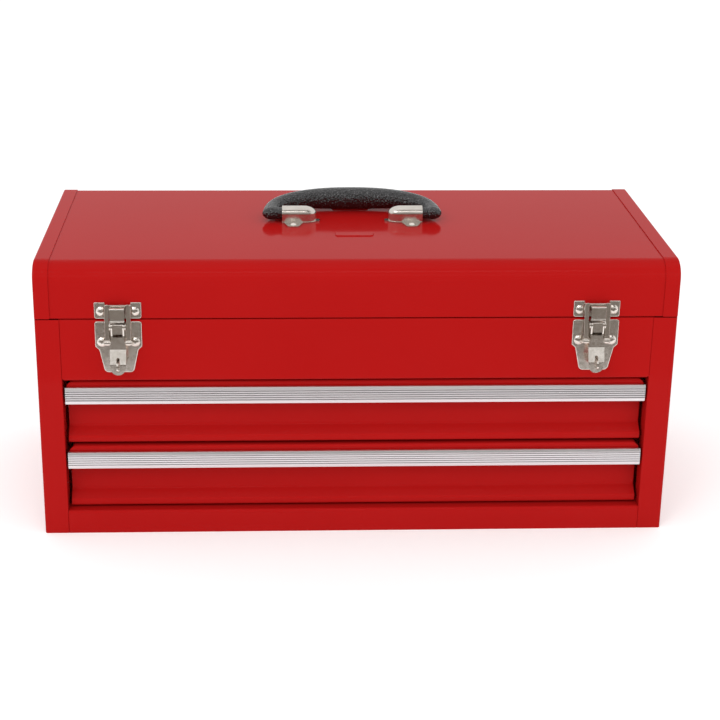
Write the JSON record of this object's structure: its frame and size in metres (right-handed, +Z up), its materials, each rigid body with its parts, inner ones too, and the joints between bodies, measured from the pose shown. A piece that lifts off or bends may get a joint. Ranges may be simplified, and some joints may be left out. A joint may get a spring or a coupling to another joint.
{
  "type": "tool box",
  "caption": "Sheet-steel tool box with a hinged lid held by draw latches, shallow drawers with ribbed pulls on ball slides, and a folding carrying handle.",
  "frame": {"origin": "middle of the base's underside", "axes": "+X along the box to the right, +Y from the drawers to the hinge, +Z up"},
  "size_m": [0.52, 0.2431, 0.2577],
  "materials": {
    "red_paint": "gloss red enamel",
    "nickel_plate": "bright nickel plate",
    "zinc_steel": "zinc plated",
    "black_plastic": "grained moulding",
    "aluminium_pull": "ribbed satin extrusion"
  },
  "bodies": {
    "case": {"side_panel_left": "red_paint", "side_panel_right": "red_paint", "back_panel": "red_paint", "bottom_panel": "red_paint", "upper_front_panel": "red_paint", "front_sill": "red_paint", "compartment_floor": "red_paint", "front_upright_left": "red_paint", "front_upright_right": "red_paint", "rear_upright_left": "red_paint", "rear_upright_right": "red_paint", "upper_slide_rail_left": "zinc_steel", "upper_slide_rail_right": "zinc_steel", "lower_slide_rail_left": "zinc_steel", "lower_slide_rail_right": "zinc_steel", "hinge_leaf_case": "red_paint", "hinge_pin": "zinc_steel", "latch_base_left": "nickel_plate", "latch_base_right": "nickel_plate", "latch_staple_left": "nickel_plate", "latch_staple_right": "nickel_plate", "lever_pin_left": "nickel_plate", "lever_pin_right": "nickel_plate", "latch_base_rivets": "nickel_plate"},
    "lid": {"lid_sheet": "red_paint", "lid_end_cap_left": "red_paint", "lid_end_cap_right": "red_paint", "hinge_leaf_lid": "red_paint", "latch_strike_left": "nickel_plate", "latch_strike_right": "nickel_plate", "latch_strike_rivets": "nickel_plate", "handle_bracket_left": "nickel_plate", "handle_bracket_right": "nickel_plate", "handle_bracket_rivets": "nickel_plate"},
    "carry_handle": {"handle": "black_plastic"},
    "upper_drawer": {"upper_drawer_front": "red_paint", "upper_drawer_tray": "red_paint", "upper_drawer_pull": "aluminium_pull", "upper_drawer_runner_left": "zinc_steel", "upper_drawer_runner_right": "zinc_steel"},
    "upper_cages": {"upper_ball_cages": "zinc_steel", "upper_slide_balls": "zinc_steel"},
    "lower_drawer": {"lower_drawer_front": "red_paint", "lower_drawer_tray": "red_paint", "lower_drawer_pull": "aluminium_pull", "lower_drawer_runner_left": "zinc_steel", "lower_drawer_runner_right": "zinc_steel"},
    "lower_cages": {"lower_ball_cages": "zinc_steel", "lower_slide_balls": "zinc_steel"},
    "left_lever": {"latch_lever_left": "nickel_plate", "bail_pins_left": "nickel_plate"},
    "left_bail": {"latch_bail_left": "nickel_plate"},
    "right_lever": {"latch_lever_right": "nickel_plate", "bail_pins_right": "nickel_plate"},
    "right_bail": {"latch_bail_right": "nickel_plate"}
  },
  "joints": [
    {"name": "lid_hinge", "type": "hinge", "parent": "case", "child": "lid", "pos_m": [0, 0.1121, 0.1913], "axis": [-1, 0, 0], "range_deg": [0, 100]},
    {"name": "handle_fold", "type": "hinge", "parent": "lid", "child": "carry_handle", "pos_m": [0, 0.0076, 0.2445], "axis": [1, 0, 0], "range_deg": [0, 168]},
    {"name": "upper_drawer_slide", "type": "slide", "parent": "case", "child": "upper_drawer", "axis": [0, -1, 0], "range_m": [0, 0.14]},
    {"name": "upper_cage_roll", "type": "slide", "parent": "case", "child": "upper_cages", "axis": [0, -1, 0], "range_m": [0, 0.0701]},
    {"name": "lower_drawer_slide", "type": "slide", "parent": "case", "child": "lower_drawer", "axis": [0, -1, 0], "range_m": [0, 0.14]},
    {"name": "lower_cage_roll", "type": "slide", "parent": "case", "child": "lower_cages", "axis": [0, -1, 0], "range_m": [0, 0.0701]},
    {"name": "left_lever_swing", "type": "hinge", "parent": "case", "child": "left_lever", "pos_m": [-0.193, -0.1152, 0.1874], "axis": [-1, 0, 0], "range_deg": [0, 90]},
    {"name": "left_bail_swing", "type": "hinge", "parent": "left_lever", "child": "left_bail", "pos_m": [-0.193, -0.1152, 0.1734], "axis": [-1, 0, 0], "range_deg": [-87.5, 0]},
    {"name": "right_lever_swing", "type": "hinge", "parent": "case", "child": "right_lever", "pos_m": [0.193, -0.1152, 0.1874], "axis": [-1, 0, 0], "range_deg": [0, 90]},
    {"name": "right_bail_swing", "type": "hinge", "parent": "right_lever", "child": "right_bail", "pos_m": [0.193, -0.1152, 0.1734], "axis": [-1, 0, 0], "range_deg": [-87.5, 0]}
  ],
  "couplings": [
    {"joint": "upper_cage_roll", "follows": "upper_drawer_slide", "ratio": 0.5},
    {"joint": "lower_cage_roll", "follows": "lower_drawer_slide", "ratio": 0.5},
    {"joint": "left_bail_swing", "follows": "left_lever_swing", "ratio": -0.97},
    {"joint": "right_bail_swing", "follows": "right_lever_swing", "ratio": -0.97}
  ]
}
